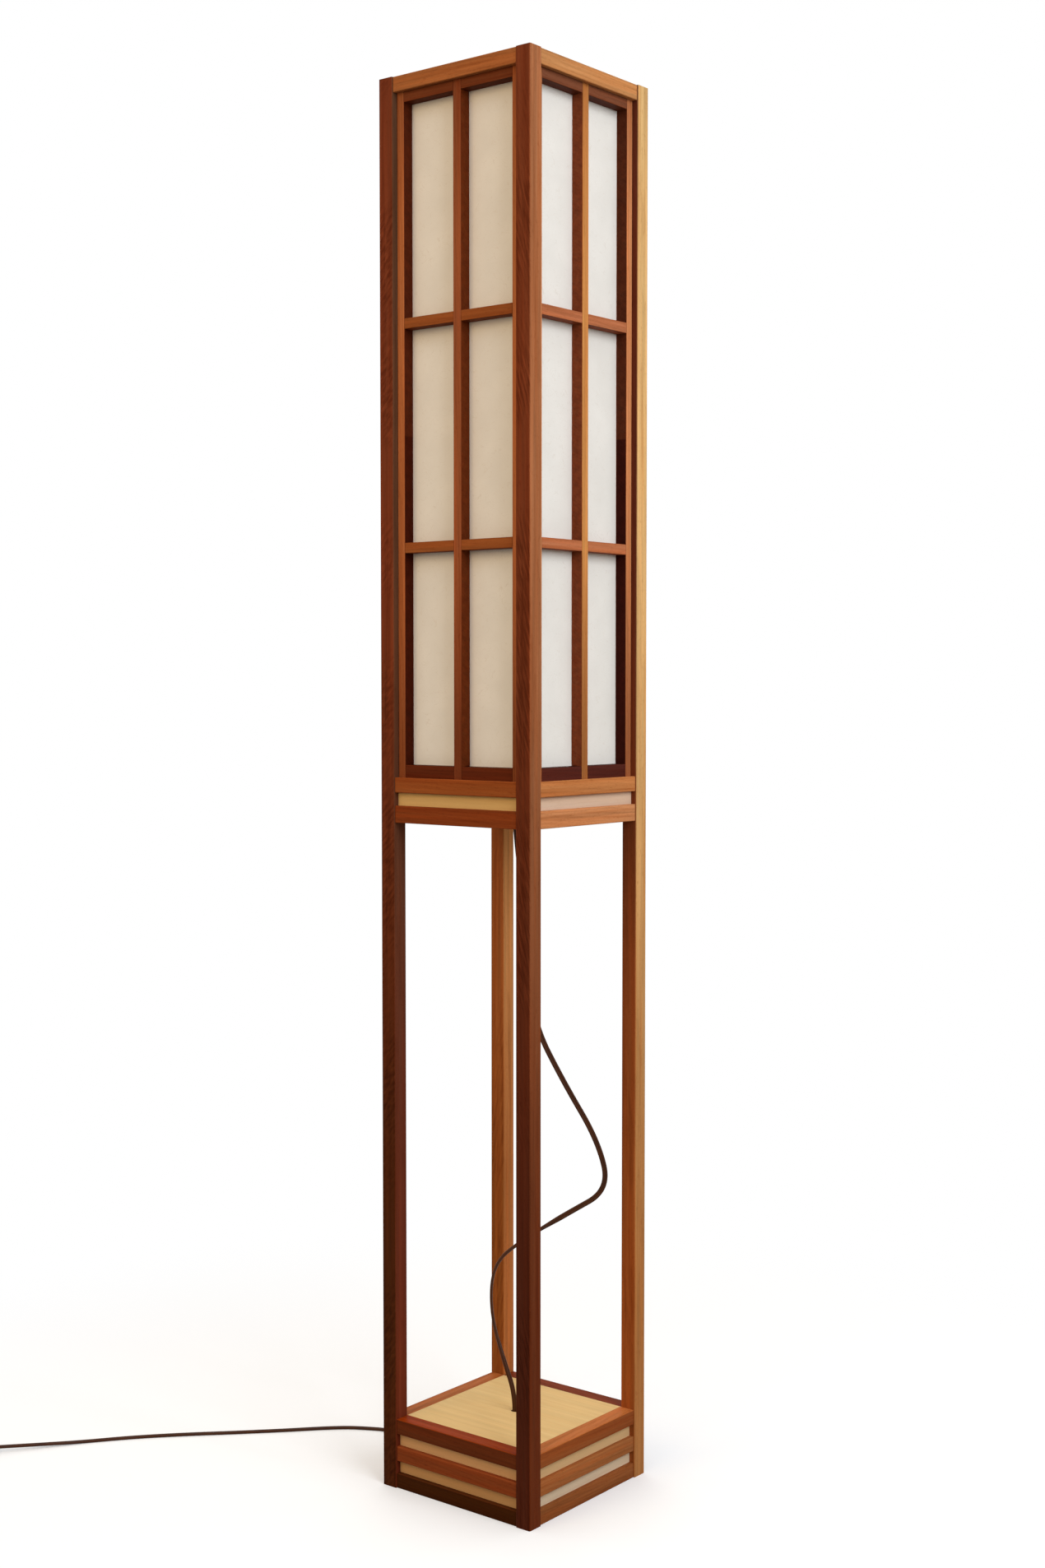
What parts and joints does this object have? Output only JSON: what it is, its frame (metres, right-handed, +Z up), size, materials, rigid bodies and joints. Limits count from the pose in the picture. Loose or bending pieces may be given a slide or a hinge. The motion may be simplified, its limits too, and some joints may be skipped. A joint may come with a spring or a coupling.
{
  "type": "andon floor lamp",
  "caption": "Tall square floor lamp: dark posts carry a shoji paper lantern over an open middle and a low boxed base, with a hanging cord.",
  "frame": {"origin": "middle of the foot, on the surface that the lamp stands on", "axes": "+Z up along the lamp; -Y faces the front; +X to the front's right"},
  "size_m": [0.7691, 0.5183, 1.524],
  "materials": {
    "post_wood": "stained and lacquered hardwood, eased corners",
    "rail_wood": "stained and lacquered hardwood",
    "shoji_wood": "stained and lacquered hardwood",
    "shoji_paper": "white shoji paper with fine fibres",
    "pale_board": "clear-finished pale plywood",
    "raw_board": "unfinished pale wood",
    "ballast_iron": "black mill-finish plate",
    "zinc_steel": "zinc-plated",
    "holder_brass": "plain brass",
    "holder_liner": "pressed insulating card",
    "holder_block": "black phenolic moulding",
    "bulb_glass": "frosted glass",
    "bulb_cap": "pressed aluminium",
    "cord_sheath": "brown vinyl twin flex",
    "moulded_brown": "brown moulded vinyl and plastic"
  },
  "bodies": {
    "frame": {"post_front_left": "post_wood", "post_front_right": "post_wood", "post_back_left": "post_wood", "post_back_right": "post_wood", "top_rail_front": "rail_wood", "top_rail_right": "rail_wood", "top_rail_back": "rail_wood", "top_rail_left": "rail_wood", "apron_upper_rails": "rail_wood", "apron_lower_rails": "rail_wood", "base_top_rails": "rail_wood", "base_middle_rails": "rail_wood", "base_bottom_rails": "rail_wood", "apron_boards": "pale_board", "base_side_boards": "pale_board", "base_cable_board": "pale_board", "base_top_board": "pale_board", "base_floor_board": "raw_board", "lantern_floor_board": "raw_board", "base_cleats": "raw_board", "lantern_cleats": "raw_board", "ballast_plate": "ballast_iron", "wood_screws": "zinc_steel", "lamp_stem": "zinc_steel", "stem_nuts": "zinc_steel", "switch_screw": "zinc_steel", "lampholder_cap": "holder_brass", "lampholder_shell": "holder_brass", "lampholder_screw_shell": "holder_brass", "lampholder_contact": "holder_brass", "switch_contacts": "holder_brass", "plug_blades": "holder_brass", "lampholder_liner": "holder_liner", "lampholder_block": "holder_block", "cord_in_stem": "cord_sheath", "hanging_cord": "cord_sheath", "cord_in_base": "cord_sheath", "lead": "cord_sheath", "lead_coil": "cord_sheath", "cord_bushing": "moulded_brown", "cord_clip": "moulded_brown", "plug_body": "moulded_brown", "switch_base": "moulded_brown", "switch_cover": "moulded_brown"},
    "panel_front": {"shoji_frame_front": "shoji_wood", "shoji_lattice_front": "shoji_wood", "shoji_paper_front": "shoji_paper"},
    "panel_right": {"shoji_frame_right": "shoji_wood", "shoji_lattice_right": "shoji_wood", "shoji_paper_right": "shoji_paper"},
    "panel_back": {"shoji_frame_back": "shoji_wood", "shoji_lattice_back": "shoji_wood", "shoji_paper_back": "shoji_paper"},
    "panel_left": {"shoji_frame_left": "shoji_wood", "shoji_lattice_left": "shoji_wood", "shoji_paper_left": "shoji_paper"},
    "bulb": {"bulb_glass": "bulb_glass", "bulb_cap": "bulb_cap"},
    "rocker": {"switch_rocker": "moulded_brown"}
  },
  "joints": [
    {"name": "panel_front_lift", "type": "slide", "parent": "frame", "child": "panel_front", "axis": [0, 0, 1], "range_m": [0, 0.76]},
    {"name": "panel_right_lift", "type": "slide", "parent": "frame", "child": "panel_right", "axis": [0, 0, 1], "range_m": [0, 0.76]},
    {"name": "panel_back_lift", "type": "slide", "parent": "frame", "child": "panel_back", "axis": [0, 0, 1], "range_m": [0, 0.76]},
    {"name": "panel_left_lift", "type": "slide", "parent": "frame", "child": "panel_left", "axis": [0, 0, 1], "range_m": [0, 0.76]},
    {"name": "bulb_out", "type": "slide", "parent": "frame", "child": "bulb", "axis": [0, 0, 1], "range_m": [0, 0.6]},
    {"name": "rocker_tip", "type": "hinge", "parent": "frame", "child": "rocker", "pos_m": [-0.5342, -0.3396, 0.009], "axis": [0.8, -0.6, 0], "range_deg": [0, 14]}
  ]
}
